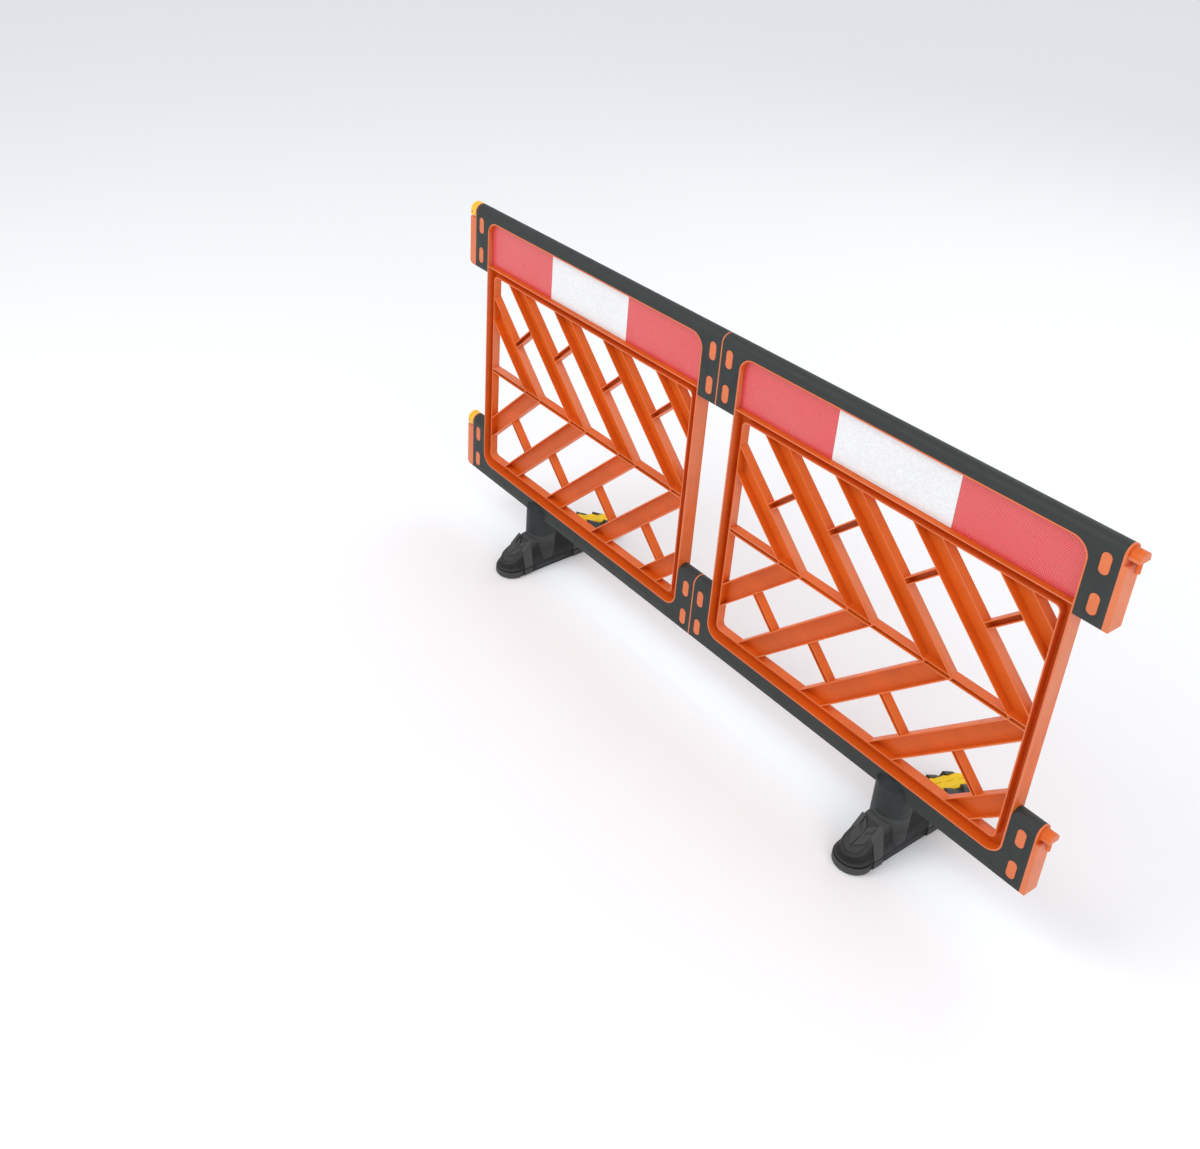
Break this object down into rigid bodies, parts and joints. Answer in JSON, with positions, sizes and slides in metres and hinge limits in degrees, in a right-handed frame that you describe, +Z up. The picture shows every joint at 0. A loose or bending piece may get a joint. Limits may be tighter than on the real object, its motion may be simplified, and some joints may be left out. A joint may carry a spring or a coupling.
{
  "type": "linking pedestrian safety barrier",
  "caption": "Linking plastic pedestrian barrier: lattice windows with red and white reflective strips, dark rails, swivelling feet and lift-up link latches.",
  "frame": {"origin": "on the ground, at the centre of the whole outline seen from above; the panel stands 76.5 mm behind it because the front foot arms are longer than the rear stubs", "axes": "+X along the panel towards its latch end, +Y from the front, where the long foot arms point, to the back, +Z up"},
  "size_m": [2.015, 0.451, 1.017],
  "materials": {
    "orange_plastic": "semi-gloss moulded polyethylene, bright safety orange",
    "dark_plastic": "satin moulded plastic, dark blue-grey",
    "red_sheet": "retroreflective sheet with a fine cell pattern under a clear face",
    "white_sheet": "retroreflective sheet with a fine cell pattern under a clear face",
    "black_rubber": "dense recycled rubber and PVC, fine matt grain",
    "black_plastic": "matt moulded plastic",
    "yellow_pad": "smooth satin moulded plastic with raised chevrons",
    "yellow_plastic": "semi-gloss moulded plastic",
    "zinc_steel": "zinc plated steel"
  },
  "bodies": {
    "panel": {"window_left": "orange_plastic", "window_right": "orange_plastic", "top_cap_left": "dark_plastic", "top_cap_right": "dark_plastic", "bottom_cap_left": "dark_plastic", "bottom_cap_right": "dark_plastic", "latch_end_upper": "orange_plastic", "latch_end_lower": "orange_plastic", "hook_end_upper": "orange_plastic", "hook_end_lower": "orange_plastic", "strip_front_left_red": "red_sheet", "strip_front_left_white": "white_sheet", "strip_front_right_red": "red_sheet", "strip_front_right_white": "white_sheet", "strip_back_left_red": "red_sheet", "strip_back_left_white": "white_sheet", "strip_back_right_red": "red_sheet", "strip_back_right_white": "white_sheet", "socket_left": "dark_plastic", "socket_right": "dark_plastic", "pivot_bolt_left": "zinc_steel", "pivot_bolt_right": "zinc_steel", "pivot_washer_left": "zinc_steel", "pivot_washer_right": "zinc_steel"},
    "foot_left": {"foot_left": "black_rubber", "tread_pad_left": "yellow_pad"},
    "foot_lock_left": {"foot_lock_left": "black_plastic"},
    "foot_right": {"foot_right": "black_rubber", "tread_pad_right": "yellow_pad"},
    "foot_lock_right": {"foot_lock_right": "black_plastic"},
    "latch_upper": {"latch_upper": "yellow_plastic", "latch_pin_upper": "zinc_steel"},
    "latch_lower": {"latch_lower": "yellow_plastic", "latch_pin_lower": "zinc_steel"}
  },
  "joints": [
    {"name": "foot_left_swivel", "type": "hinge", "parent": "panel", "child": "foot_left", "pos_m": [-0.652, 0.0765, 0], "axis": [0, 0, 1], "range_deg": [-90, 90]},
    {"name": "foot_lock_left_press", "type": "slide", "parent": "panel", "child": "foot_lock_left", "axis": [-1, 0, 0], "range_m": [0, 0.0035], "stiffness_N_per_m": 400},
    {"name": "foot_right_swivel", "type": "hinge", "parent": "panel", "child": "foot_right", "pos_m": [0.652, 0.0765, 0], "axis": [0, 0, 1], "range_deg": [-90, 90]},
    {"name": "foot_lock_right_press", "type": "slide", "parent": "panel", "child": "foot_lock_right", "axis": [-1, 0, 0], "range_m": [0, 0.0035], "stiffness_N_per_m": 400},
    {"name": "latch_upper_lift", "type": "slide", "parent": "panel", "child": "latch_upper", "axis": [0, 0, 1], "range_m": [0, 0.014]},
    {"name": "latch_lower_lift", "type": "slide", "parent": "panel", "child": "latch_lower", "axis": [0, 0, 1], "range_m": [0, 0.014]}
  ]
}
